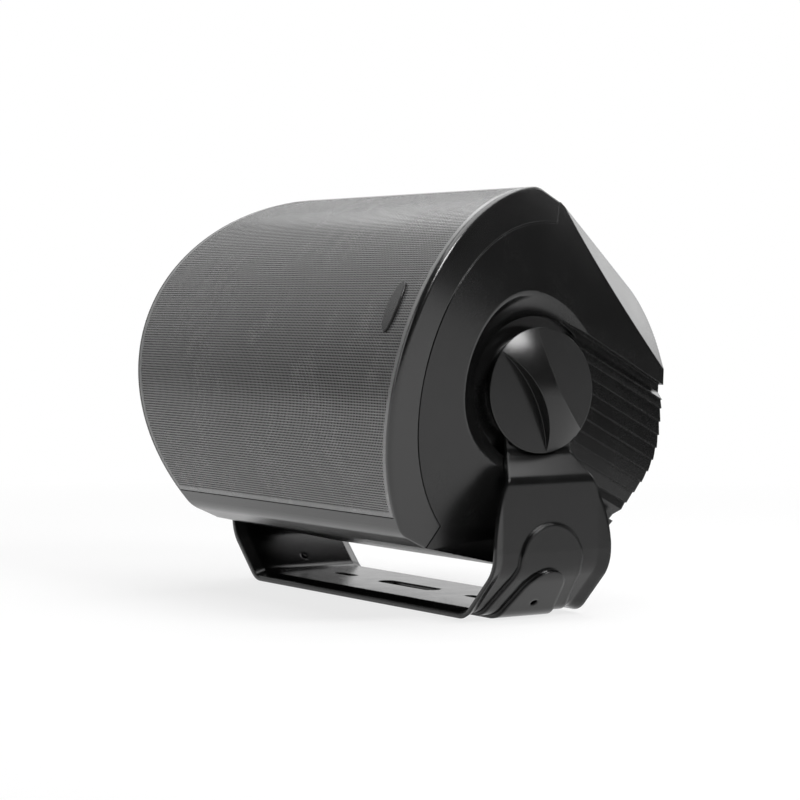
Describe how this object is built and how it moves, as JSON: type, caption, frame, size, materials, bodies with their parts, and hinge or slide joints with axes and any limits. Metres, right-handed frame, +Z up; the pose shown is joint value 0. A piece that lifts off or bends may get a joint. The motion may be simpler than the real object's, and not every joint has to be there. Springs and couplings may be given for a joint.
{
  "type": "outdoor patio speaker",
  "caption": "Weatherproof outdoor loudspeaker with a curved perforated grille and finned cabinet that tilts between the arms of a U-shaped steel mounting yoke.",
  "frame": {"origin": "on the yoke's mounting face, midway between its arms", "axes": "+X along the pivot and the cabinet's length, +Z up from the mounting face, the grille faces -Y and upwards"},
  "size_m": [0.3392, 0.2296, 0.2667],
  "materials": {
    "cabinet_plastic": "fine satin texture, weatherproof black",
    "bezel_plastic": "satin black",
    "grille_paint": "satin charcoal powder coat",
    "badge_plastic": "silver-grey print on black, blank",
    "yoke_paint": "satin black powder coat",
    "knob_plastic": "satin black",
    "seal_rubber": "soft black",
    "cone_plastic": "mineral-filled black",
    "tweeter_plastic": "satin black",
    "spider_cloth": "treated cloth",
    "aluminium": "anodised",
    "coil_copper": "enamelled copper wire",
    "steel": "plated",
    "ferrite": "sintered",
    "board_laminate": "green laminate",
    "part_yellow": "film wrap",
    "part_white": "cement",
    "gold_brass": "gold plated",
    "cap_red": "clear-cut red",
    "cap_black": "black"
  },
  "bodies": {
    "bracket": {"mounting_bracket": "yoke_paint"},
    "knob_right_body": {"knob_right": "knob_plastic", "knob_stud_right": "steel", "clamp_washer_right": "steel"},
    "knob_left_body": {"knob_left": "knob_plastic", "knob_stud_left": "steel", "clamp_washer_left": "steel"},
    "cone_body": {"woofer_cone": "cone_plastic", "dust_cap": "cone_plastic", "voice_coil": "coil_copper"},
    "cap_positive_body": {"terminal_cap_positive": "cap_red"},
    "cap_negative_body": {"terminal_cap_negative": "cap_black"},
    "speaker": {"badge": "badge_plastic", "baffle_screws": "steel", "board_screws": "steel", "cabinet_gasket": "seal_rubber", "capacitors": "part_yellow", "crossover_board": "board_laminate", "cup_screws": "steel", "friction_washer_left": "seal_rubber", "friction_washer_right": "seal_rubber", "front_bezel": "bezel_plastic", "grille": "grille_paint", "inductor": "coil_copper", "pivot_insert_left": "gold_brass", "pivot_insert_right": "gold_brass", "rear_cabinet": "cabinet_plastic", "resistor": "part_white", "spider": "spider_cloth", "terminal_cup": "cabinet_plastic", "terminal_nuts": "steel", "terminal_stud_negative": "gold_brass", "terminal_stud_positive": "gold_brass", "tweeter_back_plate": "steel", "tweeter_dome": "aluminium", "tweeter_faceplate": "tweeter_plastic", "tweeter_magnet": "ferrite", "tweeter_screws": "steel", "tweeter_top_plate": "steel", "woofer_back_plate": "steel", "woofer_basket": "steel", "woofer_magnet": "ferrite", "woofer_screws": "steel", "woofer_surround": "seal_rubber", "woofer_top_plate": "steel", "woofer_trim": "seal_rubber"}
  },
  "joints": [
    {"name": "speaker_tilt", "type": "hinge", "parent": "bracket", "child": "speaker", "pos_m": [0, 0, 0.1415], "axis": [-1, 0, 0], "range_deg": [-30, 160]},
    {"name": "knob_right_turn", "type": "hinge", "parent": "speaker", "child": "knob_right_body", "pos_m": [0.146, 0, 0.1415], "axis": [1, 0, 0], "range_deg": [0, 360]},
    {"name": "knob_left_turn", "type": "hinge", "parent": "speaker", "child": "knob_left_body", "pos_m": [-0.146, 0, 0.1415], "axis": [-1, 0, 0], "range_deg": [0, 360]},
    {"name": "cone_travel", "type": "slide", "parent": "speaker", "child": "cone_body", "axis": [0, -0.9033, 0.4289], "range_m": [-0.004, 0.004], "stiffness_N_per_m": 1500, "deforming": ["woofer_surround", "spider"]},
    {"name": "cap_positive_turn", "type": "hinge", "parent": "speaker", "child": "cap_positive_body", "pos_m": [0.0095, 0.08808, 0.09968], "axis": [0, 0.9033, -0.4289], "range_deg": [0, 360]},
    {"name": "cap_negative_turn", "type": "hinge", "parent": "speaker", "child": "cap_negative_body", "pos_m": [-0.0095, 0.08808, 0.09968], "axis": [0, 0.9033, -0.4289], "range_deg": [0, 360]}
  ]
}
